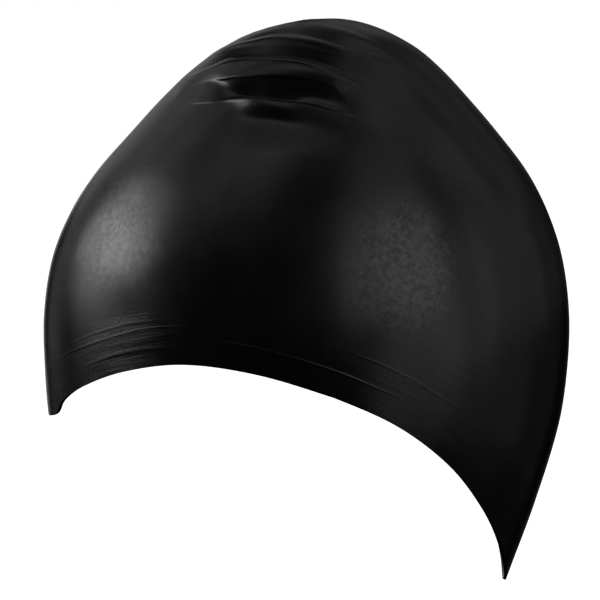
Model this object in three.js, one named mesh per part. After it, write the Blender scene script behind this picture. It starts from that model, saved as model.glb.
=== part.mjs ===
// Swim cap in its worn form: one moulded rubber shell, open below for the head.
// Millimetres. +Z is up, the forehead faces -Y and the wearer's left is +X.
// The origin is the inside of the crown's top, where the wearer's head bears.
import * as THREE from "three";

const LENGTH = 210; // outside, from the forehead to the back of the head
const WIDTH = 158; // outside, from ear to ear
const HEIGHT = 226; // outside, from the crown's top to the tip at the nape
const WALL = 0.7; // thickness of the shell
const EDGE_WALL = 1.3; // thickness at the lower edge
const EDGE_BAND = 4; // how far above the edge the shell starts to thicken

// The grid that the shell is drawn with.
const AROUND = 72;
const CROWN_ROWS = 22; // close rows, down to the depth below, which holds the folds
const CROWN_DEPTH = 0.19;
const SIDE_ROWS = 13; // the rows from there to the edge, closer near the edge
const EDGE_EASE = 1.6;

// Level sections of the outside. Each is an oval about the line down from the crown's top.
// depth: below the top, share of HEIGHT. front, back: share of LENGTH. half: half of the
// oval's width, share of WIDTH.
const SECTIONS = [
  { depth: 0, front: 0, back: 0, half: 0 },
  { depth: 0.01, front: 0.096, back: 0.068, half: 0.106 },
  { depth: 0.03, front: 0.165, back: 0.12, half: 0.18 },
  { depth: 0.055, front: 0.213, back: 0.165, half: 0.233 },
  { depth: 0.09, front: 0.265, back: 0.208, half: 0.284 },
  { depth: 0.14, front: 0.322, back: 0.258, half: 0.334 },
  { depth: 0.2, front: 0.381, back: 0.313, half: 0.38 },
  { depth: 0.27, front: 0.447, back: 0.37, half: 0.42 },
  { depth: 0.34, front: 0.496, back: 0.409, half: 0.451 },
  { depth: 0.42, front: 0.531, back: 0.437, half: 0.478 },
  { depth: 0.52, front: 0.548, back: 0.451, half: 0.497 },
  { depth: 0.62, front: 0.547, back: 0.448, half: 0.5 },
  { depth: 0.72, front: 0.538, back: 0.432, half: 0.487 },
  { depth: 0.86, front: 0.51, back: 0.387, half: 0.432 },
  { depth: 1, front: 0.47, back: 0.333, half: 0.37 },
];

// The lower edge: low at the forehead, arched over the ear and down to the tip at the nape.
// azimuth: degrees from the forehead, the same on both sides. depth: share of HEIGHT.
const EDGE = [
  { azimuth: 0, depth: 0.698 },
  { azimuth: 15, depth: 0.678 },
  { azimuth: 30, depth: 0.63 },
  { azimuth: 45, depth: 0.592 },
  { azimuth: 60, depth: 0.572 },
  { azimuth: 75, depth: 0.584 },
  { azimuth: 90, depth: 0.622 },
  { azimuth: 105, depth: 0.672 },
  { azimuth: 120, depth: 0.747 },
  { azimuth: 135, depth: 0.835 },
  { azimuth: 150, depth: 0.915 },
  { azimuth: 165, depth: 0.972 },
  { azimuth: 180, depth: 1 },
];

// The folds of the slack crown, the same on both sides. Each runs round the crown.
// at, span: azimuth of its middle and half of its run, degrees. depth: at the middle, share
// of HEIGHT. fall: how much deeper its ends lie. rise: outwards, share of FOLD_RISE.
// reach: half of its width, share of FOLD_REACH.
const FOLD_RISE = 3;
const FOLD_REACH = 11;
const FOLDS = [
  { at: 60, span: 60, depth: 0.009, fall: 0.03, rise: 0.17, reach: 0.55 },
  { at: 55, span: 60, depth: 0.028, fall: 0.033, rise: 0.3, reach: 0.55 },
  { at: 55, span: 50, depth: 0.062, fall: 0.055, rise: 0.5, reach: 0.8 },
  { at: 70, span: 46, depth: 0.111, fall: 0.012, rise: -1, reach: 0.95 },
  { at: 62, span: 48, depth: 0.134, fall: 0.028, rise: 0.6, reach: 0.6 },
  { at: 66, span: 40, depth: 0.164, fall: 0.01, rise: -0.6, reach: 0.82 },
];

const bump = (t) => (Math.abs(t) < 1 ? (1 - t * t) ** 2 : 0);

// A smooth curve through one column of a table. Flat ends have no slope.
function curve(rows, place, column, flatEnds) {
  const x = rows.map(place);
  const y = rows.map((row) => row[column]);
  const last = x.length - 1;
  const slope = x.map((_, i) => {
    const [a, b] = [Math.max(i - 1, 0), Math.min(i + 1, last)];
    return flatEnds && (i === 0 || i === last) ? 0 : (y[b] - y[a]) / (x[b] - x[a]);
  });
  return (at) => {
    let i = 0;
    while (i < last - 1 && at > x[i + 1]) i++;
    const step = x[i + 1] - x[i];
    const t = (at - x[i]) / step;
    const start = (1 + 2 * t) * y[i] + t * step * slope[i];
    const end = (3 - 2 * t) * y[i + 1] + (t - 1) * step * slope[i + 1];
    return (1 - t) ** 2 * start + t * t * end;
  };
}

// The sections are read by the root of the depth, in which a round crown is a straight line.
const root = (row) => Math.sqrt(row.depth);
const front = curve(SECTIONS, root, "front");
const back = curve(SECTIONS, root, "back");
const half = curve(SECTIONS, root, "half");
const edgeDepth = curve(EDGE, (row) => row.azimuth, "depth", true);

// The unfolded outside. azimuth is in degrees from the forehead, positive toward +X, and
// q is the root of the depth.
function smoothSkin(azimuth, q) {
  const turn = THREE.MathUtils.degToRad(azimuth);
  const reach = Math.cos(turn) > 0 ? front(q) : back(q);
  return new THREE.Vector3(
    WIDTH * half(q) * Math.sin(turn),
    -LENGTH * reach * Math.cos(turn),
    WALL - HEIGHT * q * q,
  );
}

// How far the folds lift the outside at a point.
function lift(azimuth, q) {
  const top = smoothSkin(0, 0);
  const away = smoothSkin(azimuth, q).distanceTo(top);
  return FOLDS.reduce((sum, fold) => {
    const along = (Math.abs(azimuth) - fold.at) / fold.span;
    const depth = fold.depth + fold.fall * along * along;
    const middle = smoothSkin(azimuth, Math.sqrt(depth)).distanceTo(top);
    const across = (away - middle) / (fold.reach * FOLD_REACH);
    return sum + fold.rise * FOLD_RISE * bump(along) * bump(across);
  }, 0);
}

// The outward direction of a skin, from four points beside the place.
function outward(skin, azimuth, q) {
  const round = skin(azimuth + 1, q).sub(skin(azimuth - 1, q));
  const down = skin(azimuth, q + 0.004).sub(skin(azimuth, q - 0.004));
  return down.cross(round).normalize();
}

function foldedSkin(azimuth, q) {
  const place = smoothSkin(azimuth, q);
  const height = lift(azimuth, q);
  return height ? place.addScaledVector(outward(smoothSkin, azimuth, q), height) : place;
}

// Down one line of the shell: the outside from the first row to the edge, the lip and the
// inside back up.
function stripDown(azimuth) {
  const qCrown = Math.sqrt(CROWN_DEPTH);
  const qEdge = Math.sqrt(edgeDepth(Math.abs(azimuth)));
  const rows = [];
  for (let i = 1; i <= CROWN_ROWS; i++) rows.push((qCrown * i) / CROWN_ROWS);
  for (let i = 1; i <= SIDE_ROWS; i++) {
    const share = 1 - (1 - i / SIDE_ROWS) ** EDGE_EASE;
    rows.push(qCrown + (qEdge - qCrown) * share);
  }
  const edge = foldedSkin(azimuth, qEdge);
  const outside = rows.map((q) => foldedSkin(azimuth, q));
  const inside = rows.map((q, i) => {
    const near = 1 - outside[i].distanceTo(edge) / EDGE_BAND;
    const wall = WALL + (EDGE_WALL - WALL) * Math.max(near, 0);
    return outside[i].clone().addScaledVector(outward(foldedSkin, azimuth, q), -wall);
  });
  const down = edge.clone().sub(outside.at(-2)).normalize();
  const lip = edge.clone().lerp(inside.at(-1), 0.5).addScaledVector(down, EDGE_WALL / 2);
  return [...outside, lip, ...inside.reverse()];
}

function capGeometry() {
  const strips = [];
  for (let i = 0; i < AROUND; i++) {
    const turn = (360 * i) / AROUND;
    strips.push(stripDown(turn > 180 ? turn - 360 : turn));
  }
  const length = strips[0].length;
  const points = [...strips.flat(), new THREE.Vector3(0, 0, WALL), new THREE.Vector3()];
  const [top, under] = [points.length - 2, points.length - 1];
  const faces = [];
  for (let i = 0; i < AROUND; i++) {
    const [a, b] = [i * length, ((i + 1) % AROUND) * length];
    faces.push(top, a, b, under, b + length - 1, a + length - 1);
    for (let j = 0; j < length - 1; j++) {
      faces.push(a + j, a + j + 1, b + j + 1, a + j, b + j + 1, b + j);
    }
  }
  const geometry = new THREE.BufferGeometry().setFromPoints(points);
  geometry.setIndex(faces);
  geometry.computeVertexNormals();
  return geometry;
}

const rubber = new THREE.MeshStandardMaterial({ color: "#1b1b1c", roughness: 0.5 });
rubber.name = "rubber";
const cap = new THREE.Mesh(capGeometry(), rubber);
cap.name = "cap";

const group = new THREE.Group();
group.add(cap);
export default group;
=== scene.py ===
"""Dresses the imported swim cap: the rubber shell with its folds and finish, and the studio."""

import bpy
import numpy as np
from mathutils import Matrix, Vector


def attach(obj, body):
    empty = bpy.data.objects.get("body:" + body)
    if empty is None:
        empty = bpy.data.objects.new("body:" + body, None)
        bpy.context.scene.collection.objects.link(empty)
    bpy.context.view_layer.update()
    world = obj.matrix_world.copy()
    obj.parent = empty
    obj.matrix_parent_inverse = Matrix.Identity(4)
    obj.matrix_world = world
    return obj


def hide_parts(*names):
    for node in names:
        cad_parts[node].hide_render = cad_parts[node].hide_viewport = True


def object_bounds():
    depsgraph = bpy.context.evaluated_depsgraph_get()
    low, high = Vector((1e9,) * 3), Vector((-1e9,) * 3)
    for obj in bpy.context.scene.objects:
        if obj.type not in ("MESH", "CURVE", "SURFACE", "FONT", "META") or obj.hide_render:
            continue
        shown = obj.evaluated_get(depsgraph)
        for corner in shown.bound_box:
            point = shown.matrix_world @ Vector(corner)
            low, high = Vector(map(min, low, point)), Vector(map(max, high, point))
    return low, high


bl_info = {
    "name": "Swim Cap",
    "version": (1, 0, 0),
    "blender": (4, 5, 0),
    "location": "3D View > Sidebar > Swim Cap",
    "description": "Builds a worn rubber swim cap over its packed solid, with a plain studio",
    "category": "Add Mesh",
}

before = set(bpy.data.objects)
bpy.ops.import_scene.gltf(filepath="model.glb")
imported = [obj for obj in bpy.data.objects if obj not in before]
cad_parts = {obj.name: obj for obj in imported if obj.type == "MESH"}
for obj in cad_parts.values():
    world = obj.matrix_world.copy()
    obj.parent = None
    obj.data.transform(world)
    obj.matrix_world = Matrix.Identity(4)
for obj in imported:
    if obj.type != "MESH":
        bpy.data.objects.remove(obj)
CAD_LOW, CAD_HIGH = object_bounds()
CAD_SIZE = CAD_HIGH - CAD_LOW

# Level sections of the outside, as in the part's source: depth below the crown's top as a share
# of the height, reach to the front and back as shares of the length, and half of the width.
SECTIONS = (
    (0.0, 0.0, 0.0, 0.0),
    (0.01, 0.096, 0.068, 0.106),
    (0.03, 0.165, 0.12, 0.18),
    (0.055, 0.213, 0.165, 0.233),
    (0.09, 0.265, 0.208, 0.284),
    (0.14, 0.322, 0.258, 0.334),
    (0.2, 0.381, 0.313, 0.38),
    (0.27, 0.447, 0.37, 0.42),
    (0.34, 0.496, 0.409, 0.451),
    (0.42, 0.531, 0.437, 0.478),
    (0.52, 0.548, 0.451, 0.497),
    (0.62, 0.547, 0.448, 0.5),
    (0.72, 0.538, 0.432, 0.487),
    (0.86, 0.51, 0.387, 0.432),
    (1.0, 0.47, 0.333, 0.37),
)

# The lower edge: degrees from the forehead, and depth as a share of the height.
EDGE = (
    (0, 0.698), (8, 0.697), (13, 0.692), (17.5, 0.682), (20.5, 0.664), (24, 0.65), (30, 0.63),
    (45, 0.592), (60, 0.572), (75, 0.584), (90, 0.622), (105, 0.672), (120, 0.747), (135, 0.835),
    (150, 0.915), (165, 0.972), (180, 1.0),
)  # fmt: skip

# The folds of the slack crown: lines along its crests and hollows, from the top down. Each point
# is (along the head, below the crown's top, lift of the rubber) in millimetres, as the smooth
# crown shows from the side. From one line to the next the lift eases.
CREASES = (
    # above the highest fold
    ((-16.8, -1.2, 0), (-8, 0, 0), (-1.6, 1.2, 0), (7.6, 3.6, 0), (19.2, 8.8, 0), (26.4, 13.6, 0)),
    # the highest fold, thin
    ((-16.8, -0.4, 0), (-8, 1.2, 0.4), (-1.6, 2.9, 0.5), (7.6, 5.6, 0.4), (19.2, 10.6, 0.25),
     (26.4, 15.2, 0)),
    # between the two thin folds
    ((-52.8, 14.4, 0), (-42.4, 9.6, 0), (-32.8, 7.2, 0), (-24, 5.2, 0), (-16, 5.2, 0),
     (-7.2, 6.4, 0), (3.6, 9.6, 0), (15.2, 13.6, 0), (26.4, 17.6, 0)),
    # the second thin fold
    ((-52.8, 16, 0), (-42.4, 11.8, 0.7), (-32.8, 9.8, 1.1), (-24, 8.3, 1.25), (-16, 8.3, 1.25),
     (-7.2, 9.4, 1.05), (3.6, 11.9, 0.8), (15.2, 15.2, 0.45), (26.4, 19.2, 0)),
    # its foot
    ((-56.8, 19.2, 0), (-47.6, 15.4, 0.3), (-40, 11.9, 0.4), (-26.8, 10.4, 0.5), (-14.8, 10.8, 0.5),
     (-7.2, 12.3, 0.4), (3.6, 15.8, 0.2), (15.2, 20.1, 0.1), (26.4, 23.2, 0)),
    # where the broad fold starts to rise
    ((-64, 29.6, 0), (-57.6, 22.8, 0.3), (-47.6, 17.7, 0.4), (-40, 14.3, 0.35), (-26.8, 13.7, 0.3),
     (-14.8, 14.5, 0.3), (-7.2, 16, 0.3), (0, 18.6, 0.25), (7.6, 22.1, 0.15), (16, 27.6, 0)),
    # the broad fold
    ((-64, 30.4, 0), (-57.6, 24.6, 1.1), (-47.6, 21.1, 2.2), (-40, 19.4, 3.1), (-26.8, 18.9, 3.7),
     (-14.8, 19.5, 4), (-7.2, 21.1, 3.8), (0, 23.4, 3), (7.6, 25.7, 1.6), (16.8, 29.6, 0)),
    # high on its fall
    ((-64, 30.8, 0), (-60.8, 29.5, 0.45), (-57.6, 26.9, 0.75), (-52.8, 24.8, 1.15),
     (-47.6, 24.1, 1.5), (-42.8, 24.4, 2), (-38.4, 23.6, 2.35), (-32.8, 23.2, 2.25),
     (-26.8, 22.9, 2.3), (-16.8, 23.2, 2.3), (-7.2, 24.7, 2.1), (0, 27.1, 1.6), (7.6, 29.3, 0.8),
     (17.6, 32, 0)),
    # where its fall steepens
    ((-64, 31.6, 0), (-60.8, 31.1, 0.1), (-57.6, 29, 0.25), (-52.8, 26.5, 0.65),
     (-47.6, 25.3, 1.05), (-42.8, 25, 1.1), (-38.4, 24.6, 1.35), (-32.8, 24.4, 0.95),
     (-26.8, 24.1, 1.05), (-16.8, 24.4, 1.1), (-7.2, 25.9, 1), (0, 28.2, 0.9), (7.6, 30.7, 0.5),
     (17.6, 33.2, 0)),
    # the foot of its fall
    ((-64, 31.9, 0), (-60.8, 31.6, 0.03), (-57.6, 30.9, 0.2), (-52.8, 29.5, 0.45),
     (-47.6, 28.8, 0.4), (-42.8, 28.5, -0.8), (-38.4, 27.8, -2.05), (-32.8, 27.9, -2.8),
     (-26.8, 28.3, -2.6), (-16.8, 29.5, -2.5), (-7.2, 30.8, -1.9), (0, 33.4, -0.9),
     (7.6, 35.1, -0.1), (17.6, 36.4, 0)),
    # the deep hollow
    ((-64, 32.2, 0), (-57.6, 32, 0.15), (-52.8, 31.8, 0.3), (-47.6, 31.6, 0.1), (-42.8, 30.4, -1.1),
     (-38.4, 28.7, -2.6), (-32.8, 28.7, -3.4), (-26.8, 29.2, -3.4), (-16.8, 30.6, -3),
     (-7.2, 32.5, -1.9), (0, 35.3, -0.8), (7.6, 37.5, -0.2), (17.6, 40, 0)),
    # the sharp fold
    ((-64, 33, 0), (-57.6, 32.7, 0.15), (-52.8, 32.6, 0.3), (-47.6, 32.3, 0.25), (-42.8, 31.8, 0.1),
     (-38.4, 31.9, 0.7), (-32.8, 32.1, 1.6), (-28, 32.5, 1.8), (-23.2, 33, 1.6), (-16.8, 33.5, 1.3),
     (-7.2, 34.8, 0.6), (0, 36.7, 0.25), (7.6, 38.3, 0.1), (17.6, 40.4, 0)),
    # under the sharp fold
    ((-64, 34, 0), (-57.6, 33.9, 0.02), (-52.8, 33.8, 0.08), (-47.6, 33.5, 0), (-42.8, 33, -0.1),
     (-38.4, 33, 0.45), (-32.8, 33.2, 1.3), (-28, 33.6, 1.55), (-23.2, 34.3, 1.4),
     (-16.8, 34.9, 1.1), (-7.2, 36.2, 0.4), (0, 38.3, 0.15), (7.6, 40.4, 0.05), (17.6, 42.8, 0)),
    # the lower hollow
    ((-64, 40, 0), (-56.8, 40, 0), (-52.8, 40.2, 0), (-47.6, 40.4, 0), (-42.8, 40.3, -0.1),
     (-38.4, 40.1, -0.5), (-32.8, 39.7, -1.2), (-23.2, 40.1, -1.2), (-11.6, 42.7, -0.8),
     (0, 45.3, -0.5), (11.2, 46.4, -0.05), (19.2, 48.8, 0)),
    # where the folds end
    ((-64, 52.8, 0), (-47.6, 52.8, 0), (-23.2, 53.6, 0), (0, 56, 0), (19.2, 58.8, 0)),
)  # fmt: skip

# Single lines that stand out among the ridges along the lower edge: how far above the edge, the run
# along the head, half of the width (all in metres), and the rise as a share of the ridges'.
EDGE_LINES = (
    (0.0102, -0.045, 0.024, 0.0007, 1.2),
    (0.0146, -0.12, -0.056, 0.0008, 0.65),
    (0.0072, -0.1, -0.07, 0.001, 0.45),
    (0.0112, -0.092, -0.064, 0.0008, 0.35),
    (0.0178, -0.1, -0.068, 0.0008, 0.35),
    (0.0185, 0.01, 0.05, 0.0009, 0.6),
)

# Rows of faces down to each of the folds' lines from the one above it.
CREASE_ROWS = (14, 3, 5, 6, 8, 5, 12, 10, 8, 14, 8, 12, 8, 10, 10)

# The wearer's right side has the same folds a little further back and lower. The change is eased
# in over the first stretch beside the middle line.
RIGHT_SIDE_BACK = 5  # millimetres
RIGHT_SIDE_LOWER = 0.15  # share of the lift
RIGHT_SIDE_EASE = 0.01  # metres

LINE_GAP = 0.3  # millimetres, the least between two of the folds' lines
ROW_GAP = 0.003  # the least between two rows, in the root of the depth
SEARCH_DOWN = np.linspace(0, 0.6, 601)  # roots of the depth where the folds' lines are looked for
SIDE_ROWS_EASE = 1.5  # above one, the rows of the sides come closer toward the edge
EDGE_TURNS = np.linspace(-180, 180, 1441)  # azimuths at which the edge is measured to

# The two places where the rubber is rubbed, at the back and the temple: middle as it shows from
# the side, and reach along the head and up it, in metres.
RUBBED_BACK = ((0, 0.0274, -0.091), (0.021, 0.027))
RUBBED_TEMPLE = ((0, -0.082, -0.084), (0.02, 0.027))

FLOOR_RADIUS = 14  # metres
LIGHT_POWER = 4  # watts for each square metre of a softbox and unit of brightness
SENSOR_WIDTH = 36  # millimetres

# The studio's softboxes: azimuth in degrees from the wearer's left toward the nape, elevation,
# half of the width and height as angles seen from the cap, and brightness.
SOFTBOXES = (
    (-168, -6, 8, 9, 0.58), (-168, 12, 8, 9, 0.2), (-150, 18, 9, 9, 0.24),
    (-130, -5, 12, 10, 0.11), (-130, 15, 11, 10, 0.14), (-128, 35, 12, 10, 0.2),
    (-110, 50, 18, 12, 0.14), (-108, 8, 7, 6, 0.35), (-108, 18, 7, 6, 1.38), (-108, 28, 7, 6, 0.59),
    (-96, 8, 7, 6, 1.03), (-96, 18, 7, 6, 1.26), (-96, 28, 7, 6, 1.58), (-88, -4, 16, 6, 0.088),
    (-84, 8, 7, 6, 0.83), (-84, 18, 7, 6, 2.74), (-84, 28, 7, 6, 1.22), (-72, 18, 7, 6, 2.48),
    (-72, 28, 7, 6, 0.71), (-60, 60, 30, 18, 0.076), (-40, 40, 16, 12, 0.16),
    (-14, 14, 14, 14, 0.009), (0, 60, 30, 18, 0.083), (14, 16, 10, 10, 0.54),
    (30, 34, 18, 10, 0.13), (36, 16, 12, 12, 0.68), (38, -8, 18, 10, 0.25), (60, 8, 14, 16, 0.21),
    (70, 50, 22, 16, 0.051), (80, -18, 20, 12, 0.081), (80, 8, 12, 12, 0.18),
    (82, 32, 14, 12, 0.16), (90, 66, 30, 20, 0.13), (104, 8, 12, 12, 0.13),
    (108, 30, 14, 12, 0.081), (118, -18, 16, 12, 0.02), (128, 8, 12, 12, 0.036),
    (134, 30, 14, 12, 0.056), (150, 8, 10, 12, 0.01), (158, 30, 12, 12, 0.023),
    (168, -12, 10, 10, 0.03), (170, 12, 10, 10, 0.048), (176, 32, 10, 10, 0.107),
    (180, 58, 24, 16, 0.039),
)  # fmt: skip


def curve(places, values, flat_ends=False):
    """A smooth curve through the values, as a function of the place."""
    x, y = np.array(places, float), np.array(values, float)
    before = np.maximum(np.arange(len(x)) - 1, 0)
    after = np.minimum(np.arange(len(x)) + 1, len(x) - 1)
    slope = (y[after] - y[before]) / (x[after] - x[before])
    if flat_ends:
        slope[0] = slope[-1] = 0

    def at(place):
        i = np.clip(np.searchsorted(x, place, side="right") - 1, 0, len(x) - 2)
        step = x[i + 1] - x[i]
        t = (place - x[i]) / step
        start = (1 + 2 * t) * y[i] + t * step * slope[i]
        end = (3 - 2 * t) * y[i + 1] + (t - 1) * step * slope[i + 1]
        return (1 - t) ** 2 * start + t * t * end

    return at


_root = [row[0] ** 0.5 for row in SECTIONS]
front, back, half = (curve(_root, [row[k] for row in SECTIONS]) for k in (1, 2, 3))
edge_depth = curve([row[0] for row in EDGE], [row[1] for row in EDGE], flat_ends=True)


def skin(sizes, azimuth, q):
    """The unfolded outside: azimuth in degrees from the forehead, q the root of the depth."""
    turn = np.radians(azimuth)
    reach = np.where(np.cos(turn) > 0, front(q), back(q))
    return np.stack(
        [
            sizes.width * half(q) * np.sin(turn),
            -sizes.length * reach * np.cos(turn),
            sizes.wall - sizes.height * q * q,
        ],
        axis=-1,
    )


def side_view(points, distance, elevation, aim):
    """Where points show from their own side: millimetres along the head and below the top."""
    turned = points - np.array(aim)
    turned[:, 0] = np.abs(points[:, 0])
    out = np.array([np.cos(elevation), 0, np.sin(elevation)])
    up = np.array([-np.sin(elevation), 0, np.cos(elevation)])
    nearer = distance / (distance - turned @ out)
    return (turned[:, 1] * nearer + aim[1]) * 1000, -(turned @ up * nearer + aim[2]) * 1000


def crease_places(along):
    """For each line of the folds at places along the head: how far below the top, and its lift."""
    places, lifts = [], []
    for line in CREASES:
        x, depth, lift = np.array(line, float).T
        on_line = np.clip(along, x[0], x[-1])
        place = curve(x, depth)(on_line)
        places.append(np.maximum(place, places[-1] + LINE_GAP) if places else place)
        lifts.append(curve(x, lift)(on_line) * np.clip(1 - np.abs(along - on_line), 0, 1))
    return np.array(places), np.array(lifts)


def fold_lift(along, below):
    """How far the folds lift the rubber, in metres, for points as they show from the side."""
    places, lifts = crease_places(along)
    step = np.diff(places, axis=0)
    rate = np.diff(lifts, axis=0) / step
    # flat on each crest and in each hollow, and no steeper elsewhere than the rates on both sides
    above, under = rate[:-1], rate[1:]
    slope = np.zeros_like(lifts)
    runs_on = above * under > 0
    slope[1:-1] = np.where(runs_on, 2 * above * under / np.where(runs_on, above + under, 1), 0)
    row = np.clip((below >= places).sum(0) - 1, 0, len(CREASES) - 2)[None]
    upper = [np.take_along_axis(values, row, 0)[0] for values in (places, lifts, slope, step)]
    lower = [np.take_along_axis(values, row + 1, 0)[0] for values in (lifts, slope)]
    t = np.clip((below - upper[0]) / upper[3], 0, 1)
    start = (1 + 2 * t) * upper[1] + t * upper[3] * upper[2]
    end = (3 - 2 * t) * lower[0] + (t - 1) * upper[3] * lower[1]
    return ((1 - t) ** 2 * start + t * t * end) / 1000


class CapSizes(bpy.types.PropertyGroup):
    length: bpy.props.FloatProperty(
        name="Length", description="Outside, forehead to the back of the head",
        default=CAD_SIZE.y, unit="LENGTH")  # fmt: skip
    width: bpy.props.FloatProperty(
        name="Width", description="Outside, ear to ear",
        default=CAD_SIZE.x, unit="LENGTH")  # fmt: skip
    wall: bpy.props.FloatProperty(
        name="Wall", description="Thickness of the rubber",
        default=CAD_HIGH.z, unit="LENGTH")  # fmt: skip
    edge_wall: bpy.props.FloatProperty(
        name="Edge wall", description="Thickness of the rubber at the lower edge",
        default=0.0013, unit="LENGTH")  # fmt: skip
    edge_band: bpy.props.FloatProperty(
        name="Edge band", description="How far above the edge the rubber starts to thicken",
        default=0.004, unit="LENGTH")  # fmt: skip
    height: bpy.props.FloatProperty(
        name="Height", description="Outside, crown to the tip at the nape",
        default=0.226, unit="LENGTH")  # fmt: skip
    seam_azimuth: bpy.props.FloatProperty(
        name="Mould line", description="Where the mould line runs up each side, from the forehead",
        default=np.radians(64), subtype="ANGLE")  # fmt: skip
    around: bpy.props.IntProperty(
        name="Faces around", description="Faces once round the shell",
        default=216, min=24)  # fmt: skip
    side_rows: bpy.props.IntProperty(
        name="Side rows", description="Rows of faces from the folds to the edge",
        default=66, min=8)  # fmt: skip


class RubberFinish(bpy.types.PropertyGroup):
    colour: bpy.props.FloatVectorProperty(
        name="Colour", description="Colour of the rubber", default=(0.003, 0.003, 0.0031),
        subtype="COLOR", size=3, min=0, max=1)  # fmt: skip
    roughness: bpy.props.FloatProperty(
        name="Roughness", description="How broad the gloss is",
        default=0.27, min=0, max=1)  # fmt: skip
    grain: bpy.props.FloatProperty(
        name="Grain", description="Height of the fine grain of the skin",
        default=0.00002, unit="LENGTH")  # fmt: skip
    mottle: bpy.props.FloatProperty(
        name="Mottle", description="How much the gloss varies where the rubber is rubbed",
        default=1.0, min=0)  # fmt: skip
    ridges: bpy.props.FloatProperty(
        name="Ridges", description="Height of the fine ridges along the lower edge", default=0.0002,
        unit="LENGTH")  # fmt: skip


class StudioSettings(bpy.types.PropertyGroup):
    distance: bpy.props.FloatProperty(
        name="Camera distance", description="From the camera to the cap's middle",
        default=1.7, unit="LENGTH")  # fmt: skip
    elevation: bpy.props.FloatProperty(
        name="Camera elevation", description="How far the camera looks down",
        default=np.radians(7), subtype="ANGLE")  # fmt: skip
    aim: bpy.props.FloatVectorProperty(
        name="Aim", description="The point that shows in the middle of the picture",
        default=(0, -0.0128, -0.1118), subtype="TRANSLATION", size=3)  # fmt: skip
    view_height: bpy.props.FloatProperty(
        name="View height", description="Height of the picture at the aim",
        default=0.24, unit="LENGTH")  # fmt: skip
    floor_drop: bpy.props.FloatProperty(
        name="Floor drop", description="Gap between the cap's tip and the floor",
        default=0.05, unit="LENGTH")  # fmt: skip
    light_distance: bpy.props.FloatProperty(
        name="Light distance", description="From the softboxes to the cap's middle",
        default=2.0, unit="LENGTH")  # fmt: skip


class Wire:
    """An output socket of a node tree. A sum written with it adds its Math nodes."""

    def __init__(self, tree, socket=None):
        self.tree = tree
        self.socket = socket

    def node(self, kind, sockets=None, output=0, **settings):
        """Adds a node. Its settings come first, then the values or links of its sockets."""
        made = self.tree.nodes.new(kind)
        for name, value in settings.items():
            setattr(made, name, value)
        for name, value in (sockets or {}).items():
            if isinstance(value, Wire):
                self.tree.links.new(value.socket, made.inputs[name])
            else:
                made.inputs[name].default_value = value
        return Wire(self.tree, made.outputs[output] if made.outputs else None)

    def maths(self, operation, *values):
        return self.node("ShaderNodeMath", dict(enumerate(values)), operation=operation)

    def __add__(self, other):
        return self.maths("ADD", self, other)

    def __sub__(self, other):
        return self.maths("SUBTRACT", self, other)

    def __rsub__(self, other):
        return self.maths("SUBTRACT", other, self)

    def __mul__(self, other):
        return self.maths("MULTIPLY", self, other)

    __radd__ = __add__
    __rmul__ = __mul__


def smooth_step(value, start, end, low=0.0, high=1.0):
    """A value eased from low to high as it goes from start to end."""
    return value.node(
        "ShaderNodeMapRange",
        {"Value": value, "From Min": start, "From Max": end, "To Min": low, "To Max": high},
        interpolation_type="SMOOTHSTEP",
    )


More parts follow.
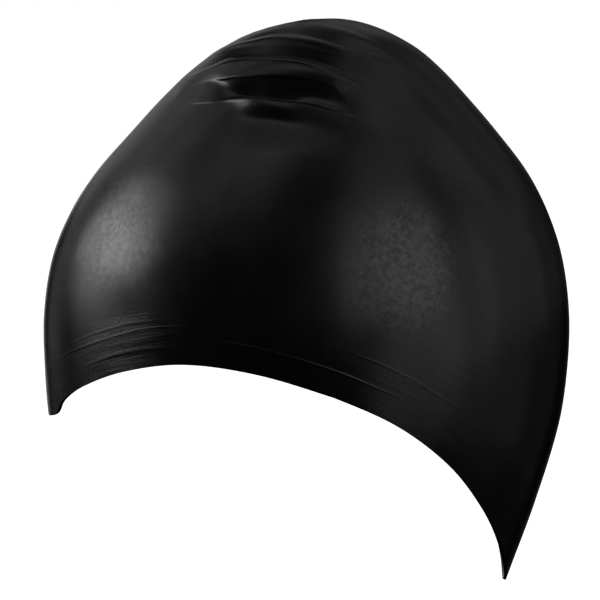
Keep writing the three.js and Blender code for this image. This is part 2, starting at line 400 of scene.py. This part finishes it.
def rubber_material(finish):
    """Black satin rubber, with fine ridges along the edge and a mould line up each side."""
    material = bpy.data.materials.new("rubber")
    material.use_nodes = True
    tree = material.node_tree
    tree.nodes.clear()
    wire = Wire(tree)
    place = wire.node("ShaderNodeTexCoord", output="Object")
    above_edge = wire.node("ShaderNodeAttribute", output="Fac", attribute_name="above_edge")
    from_seam = wire.node("ShaderNodeAttribute", output="Fac", attribute_name="from_seam")
    along = wire.node("ShaderNodeSeparateXYZ", {0: place}, output=1)

    def noise(scale, detail=2.0, rough=0.5, shift=0.0, stretch=None):
        """Noise of this scale per metre. The shift picks another pattern or runs through it."""
        vector = place
        if stretch is not None:
            vector = wire.node("ShaderNodeVectorMath", {0: place, 1: stretch}, operation="MULTIPLY")
        return wire.node(
            "ShaderNodeTexNoise",
            {"Vector": vector, "W": shift, "Scale": scale, "Detail": detail, "Roughness": rough},
            noise_dimensions="4D",
        )

    def patch(middle, reach):
        """One in an oval seen from the side, fading to nothing past its rim."""
        away = wire.node("ShaderNodeVectorMath", {0: place, 1: middle}, operation="SUBTRACT")
        shares = (0, 1 / reach[0], 1 / reach[1])
        away = wire.node("ShaderNodeVectorMath", {0: away, 1: shares}, operation="MULTIPLY")
        away = wire.node("ShaderNodeVectorMath", {0: away}, output=1, operation="LENGTH")
        return smooth_step(away + (noise(90, 2) - 0.5) * 0.9, 0.65, 1.15, 1, 0)

    # the gloss: mottled where the rubber is rubbed at the back and the temple, and finely grained
    blots = smooth_step(noise(430, 3, 0.65), 0.3, 0.7) - 0.5
    rubbed = patch(*RUBBED_BACK) + patch(*RUBBED_TEMPLE) * 0.6
    mottle = blots * (rubbed * 0.65 + 0.12)
    grain = noise(1250, 2, 0.6) - 0.5
    clouds = noise(120, 3, 0.6, 3.0) - 0.5
    beside_seam = smooth_step(from_seam, -0.0004, 0.0004, 1, 0) * smooth_step(from_seam, -0.02, 0)
    gloss = mottle * finish.mottle + grain * 0.9 + clouds * 0.25 + beside_seam * 0.12 + 0.4

    # ridges that run along the lower edge and come and go round it
    ridges = noise(26, 1, 0.5, above_edge * 230) + noise(45, 1, 0.5, above_edge * 600) * 0.07
    ridges = ridges * smooth_step(above_edge + (noise(30, 1) - 0.5) * 0.012, 0.012, 0.029, 1, 0)
    smoother = smooth_step(along, -0.1, -0.04) * smooth_step(along, 0.005, 0.03, 1, 0)
    ridges = ridges * (1 - smoother * 0.85)
    for level, start, end, width, rise in EDGE_LINES:
        off = above_edge - level + (noise(35, 1, 0.5, level * 900) - 0.5) * 0.0022
        line = smooth_step(off.maths("ABSOLUTE", off), 0, width, rise, 0)
        ridges = ridges + line * smooth_step(along, start - 0.008, start + 0.012) * smooth_step(
            along, end - 0.012, end + 0.008, 1, 0)  # fmt: skip

    # short creases that gather the rubber down to the nape's tip
    gathers = noise(170, 2, 0.5, 0.0, (1, 1, 0.08)) * smooth_step(above_edge, 0.006, 0.03, 1, 0)
    gathers = gathers * smooth_step(along, 0.064, 0.072)

    # mould line: a hair-thin raised line
    seam = smooth_step(from_seam.maths("ABSOLUTE", from_seam), 0.0002, 0.0007, 1, 0)

    height = None
    for relief, rise in (
        (ridges, finish.ridges * 0.7),
        (gathers, finish.ridges * 1.2),
        (grain + mottle * 1.2, finish.grain),
        (seam, finish.grain * 0.6),
    ):
        sockets = {"Height": relief, "Distance": rise, "Strength": 1.0}
        if height:
            sockets["Normal"] = height
        height = wire.node("ShaderNodeBump", sockets)

    tone = smooth_step(noise(60, 3, 0.6, 2.0), 0.3, 0.7)
    darker, lighter = ((*(k * c for c in finish.colour), 1) for k in (0.85, 1.15))
    mix = {0: tone, 6: darker, 7: lighter}
    colour = wire.node("ShaderNodeMix", mix, output=2, data_type="RGBA")

    shader = wire.node(
        "ShaderNodeBsdfPrincipled",
        {
            "Base Color": colour,
            "Roughness": tone * 0.04 + (finish.roughness - 0.02),
            "Coat Weight": gloss.maths("MAXIMUM", gloss, 0.0),
            "Coat Roughness": finish.roughness,
            "Normal": height,
        },
    )
    wire.node("ShaderNodeOutputMaterial", {"Surface": shader})
    return material


def deselect_all():
    if bpy.context.object and bpy.context.object.mode != "OBJECT":
        bpy.ops.object.mode_set(mode="OBJECT")
    bpy.ops.object.select_all(action="DESELECT")


def apply_modifier(piece, kind, **settings):
    modifier = piece.modifiers.new(kind.lower(), kind)
    for name, value in settings.items():
        setattr(modifier, name, value)
    bpy.ops.object.modifier_apply(modifier=modifier.name)


def write_attribute(piece, name, values):
    attribute = piece.data.attributes.new(name, "FLOAT", "POINT")
    attribute.data.foreach_set("value", np.asarray(values, np.float32))


class SWIMCAP_OT_shell(bpy.types.Operator):
    """Lays half a sphere on the cap's sections, folds it and gives it its wall"""

    bl_idname = "swimcap.shell"
    bl_label = "Rubber shell"

    def execute(self, context):
        sizes = context.scene.swim_cap_sizes
        studio = context.scene.swim_cap_studio
        rows = sum(CREASE_ROWS) + sizes.side_rows
        deselect_all()
        bpy.ops.mesh.primitive_uv_sphere_add(segments=sizes.around, ring_count=2 * rows, radius=1)
        piece = context.object
        piece.name = piece.data.name = "cap_rubber"
        bpy.ops.object.mode_set(mode="EDIT")
        bpy.ops.mesh.bisect(plane_co=(0, 0, 0), plane_no=(0, 0, 1), clear_inner=True)
        bpy.ops.object.mode_set(mode="OBJECT")

        azimuth, q, above_edge = self.lay_out(piece, sizes, studio, rows)
        base = skin(sizes, azimuth, q)
        round_step = skin(sizes, azimuth + 0.5, q) - skin(sizes, azimuth - 0.5, q)
        down_step = skin(sizes, azimuth, q + 0.002) - skin(sizes, azimuth, np.maximum(q - 0.002, 0))
        outward = np.cross(down_step, round_step)
        length = np.linalg.norm(outward, axis=1, keepdims=True)
        outward = np.where(length > 1e-12, outward / np.maximum(length, 1e-12), [0, 0, 1])
        along, below = self.fold_view(base, studio)
        right = self.right_side(base)
        lift = fold_lift(along, below) * (1 - RIGHT_SIDE_LOWER * right)
        points = base + outward * lift[:, None]
        piece.data.vertices.foreach_set("co", points.ravel())
        piece.data.update()

        write_attribute(piece, "above_edge", above_edge)
        radius = np.hypot(points[:, 0], points[:, 1])
        from_seam = np.radians(np.abs(azimuth) - np.degrees(sizes.seam_azimuth)) * radius
        write_attribute(piece, "from_seam", from_seam)
        self.give_wall(piece, sizes, above_edge)
        bpy.ops.object.shade_smooth()
        piece.data.materials.append(rubber_material(context.scene.swim_cap_finish))
        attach(piece, "root")
        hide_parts("cap")
        return {"FINISHED"}

    def right_side(self, points):
        """One on the wearer's right side, eased to nothing at the middle line."""
        return np.clip(-points[:, 0] / RIGHT_SIDE_EASE, 0, 1)

    def fold_view(self, points, studio):
        """Where points show from the side, moved on the wearer's right by the folds' own shift."""
        along, below = side_view(points, studio.distance, studio.elevation, studio.aim)
        return along - RIGHT_SIDE_BACK * self.right_side(points), below

    def rows_down(self, azimuth, sizes, studio):
        """The root of the depth of every row at these azimuths, along the folds' lines."""
        deep = SEARCH_DOWN
        columns = np.repeat(azimuth, len(deep))
        along, below = self.fold_view(skin(sizes, columns, np.tile(deep, len(azimuth))), studio)
        gap = below - crease_places(along)[0]
        gap = gap.reshape(len(CREASES), len(azimuth), len(deep))
        after = np.clip((gap >= 0).argmax(-1), 1, len(deep) - 1)
        past = np.take_along_axis(gap, after[..., None], -1)[..., 0]
        short = np.take_along_axis(gap, after[..., None] - 1, -1)[..., 0]
        crossing = deep[after] - (deep[1] - deep[0]) * np.clip(past / (past - short), 0, 1)
        knots = [np.zeros(len(azimuth))]
        for q in crossing:
            knots.append(np.maximum(q, knots[-1] + ROW_GAP))
        knots = np.array(knots)
        rows = [knots[:1]]
        for i, count in enumerate(CREASE_ROWS):
            share = np.arange(1, count + 1)[:, None] / count
            rows.append(knots[i] + (knots[i + 1] - knots[i]) * share)
        share = np.arange(1, sizes.side_rows + 1)[:, None] / sizes.side_rows
        share = 1 - (1 - share) ** SIDE_ROWS_EASE
        edge = np.sqrt(edge_depth(np.abs(azimuth)))
        rows.append(knots[-1] + (edge - knots[-1]) * share)
        return np.concatenate(rows)

    def lay_out(self, piece, sizes, studio, rows):
        """For each point: azimuth, root of the depth, and how far above the edge it lies."""
        co = np.zeros(len(piece.data.vertices) * 3)
        piece.data.vertices.foreach_get("co", co)
        co = co.reshape(-1, 3)
        azimuth = np.degrees(np.arctan2(co[:, 0], -co[:, 1]))
        row = np.rint(np.degrees(np.arccos(np.clip(co[:, 2], -1, 1))) / 90 * rows).astype(int)
        column = np.rint(azimuth * sizes.around / 360).astype(int)
        azimuth = column * 360 / sizes.around
        columns = np.arange(-(sizes.around // 2), sizes.around // 2 + 1)
        q = self.rows_down(columns * 360 / sizes.around, sizes, studio)[row, column - columns[0]]
        edge = skin(sizes, EDGE_TURNS, np.sqrt(edge_depth(np.abs(EDGE_TURNS))))
        points = skin(sizes, azimuth, q)
        above = np.full(len(points), 1.0)
        for i in range(0, len(points), 4000):
            part = points[i : i + 4000, None, :] - edge[None, :, :]
            above[i : i + 4000] = np.sqrt((part**2).sum(-1).min(1))
        above[row == rows] = 0
        return azimuth, q, above

    def give_wall(self, piece, sizes, above_edge):
        thin = sizes.wall / sizes.edge_wall
        weight = thin + (1 - thin) * np.clip(1 - above_edge / sizes.edge_band, 0, 1)
        group = piece.vertex_groups.new(name="wall")
        for i, w in enumerate(weight):
            group.add([i], float(w), "REPLACE")
        apply_modifier(
            piece, "SOLIDIFY", thickness=sizes.edge_wall, offset=-1, vertex_group="wall",
            thickness_vertex_group=0.0, use_even_offset=True, use_rim=True)  # fmt: skip
        apply_modifier(
            piece, "BEVEL", width=0.4 * sizes.edge_wall, segments=2, limit_method="ANGLE",
            angle_limit=np.radians(50))  # fmt: skip


class SWIMCAP_OT_studio(bpy.types.Operator):
    """Sets the pale floor, the soft lights and the camera"""

    bl_idname = "swimcap.studio"
    bl_label = "Studio"

    def execute(self, context):
        studio = context.scene.swim_cap_studio
        self.floor(context, studio)
        self.lights(context, studio)
        self.camera(context, studio)
        return {"FINISHED"}

    def floor(self, context, studio):
        deselect_all()
        level = CAD_LOW.z - studio.floor_drop
        bpy.ops.mesh.primitive_circle_add(
            vertices=64, radius=FLOOR_RADIUS, fill_type="NGON", location=(0, 0, level))  # fmt: skip
        floor = context.object
        floor.name = "floor"
        floor.visible_glossy = False
        floor.visible_diffuse = False
        floor.visible_shadow = False
        material = bpy.data.materials.new("pale_floor")
        material.use_nodes = True
        shader = material.node_tree.nodes["Principled BSDF"]
        shader.inputs["Base Color"].default_value = (0.9, 0.9, 0.9, 1)
        shader.inputs["Roughness"].default_value = 0.9
        shader.inputs["Emission Color"].default_value = (1, 1, 1, 1)
        shader.inputs["Emission Strength"].default_value = 1.0
        floor.data.materials.append(material)

    def lights(self, context, studio):
        aim = Vector(studio.aim)
        distance = studio.light_distance
        for i, (azimuth, elevation, half_width, half_height, brightness) in enumerate(SOFTBOXES):
            turn, rise = np.radians(azimuth), np.radians(elevation)
            out = Vector((np.cos(turn) * np.cos(rise), np.sin(turn) * np.cos(rise), np.sin(rise)))
            bpy.ops.object.light_add(type="AREA", location=aim + out * distance)
            light = context.object
            light.name = light.data.name = f"light_{i + 1:02d}"
            light.visible_camera = False
            light.rotation_mode = "QUATERNION"
            light.rotation_quaternion = out.to_track_quat("Z", "Y")
            light.data.shape = "RECTANGLE"
            light.data.size = 2 * distance * np.tan(np.radians(half_width))
            light.data.size_y = 2 * distance * np.tan(np.radians(half_height))
            light.data.energy = LIGHT_POWER * light.data.size * light.data.size_y * brightness
        world = bpy.data.worlds.new("studio")
        context.scene.world = world
        world.use_nodes = True
        wire = Wire(world.node_tree)
        world.node_tree.nodes.clear()
        # the room is pale where it is seen, and unlit
        seen = wire.node("ShaderNodeLightPath", output="Is Camera Ray")
        room = wire.node("ShaderNodeBackground", {"Color": (1, 1, 1, 1), "Strength": seen})
        wire.node("ShaderNodeOutputWorld", {"Surface": room})

    def camera(self, context, studio):
        aim = Vector(studio.aim)
        out = Vector((np.cos(studio.elevation), 0, np.sin(studio.elevation)))
        bpy.ops.object.camera_add(location=aim + out * studio.distance)
        camera = context.object
        camera.name = "camera"
        camera.rotation_mode = "QUATERNION"
        camera.rotation_quaternion = out.to_track_quat("Z", "Y")
        camera.data.sensor_width = SENSOR_WIDTH
        camera.data.lens = SENSOR_WIDTH * studio.distance / studio.view_height
        camera.data.clip_start, camera.data.clip_end = 0.1, 40
        context.scene.camera = camera
        context.scene.view_settings.view_transform = "Standard"


class SWIMCAP_PT_panel(bpy.types.Panel):
    bl_label = "Swim Cap"
    bl_idname = "SWIMCAP_PT_panel"
    bl_space_type = "VIEW_3D"
    bl_region_type = "UI"
    bl_category = "Swim Cap"

    def draw(self, context):
        for group in (
            context.scene.swim_cap_sizes,
            context.scene.swim_cap_finish,
            context.scene.swim_cap_studio,
        ):
            column = self.layout.column()
            for name in group.__annotations__:
                column.prop(group, name)
        self.layout.operator(SWIMCAP_OT_shell.bl_idname)
        self.layout.operator(SWIMCAP_OT_studio.bl_idname)


CLASSES = (
    CapSizes, RubberFinish, StudioSettings, SWIMCAP_OT_shell, SWIMCAP_OT_studio, SWIMCAP_PT_panel,
)  # fmt: skip


def register():
    for cls in CLASSES:
        bpy.utils.register_class(cls)
    bpy.types.Scene.swim_cap_sizes = bpy.props.PointerProperty(type=CapSizes)
    bpy.types.Scene.swim_cap_finish = bpy.props.PointerProperty(type=RubberFinish)
    bpy.types.Scene.swim_cap_studio = bpy.props.PointerProperty(type=StudioSettings)


def unregister():
    del bpy.types.Scene.swim_cap_studio
    del bpy.types.Scene.swim_cap_finish
    del bpy.types.Scene.swim_cap_sizes
    for cls in reversed(CLASSES):
        bpy.utils.unregister_class(cls)


def main():
    register()
    bpy.ops.swimcap.shell()
    bpy.ops.swimcap.studio()


if __name__ == "__main__":
    main()
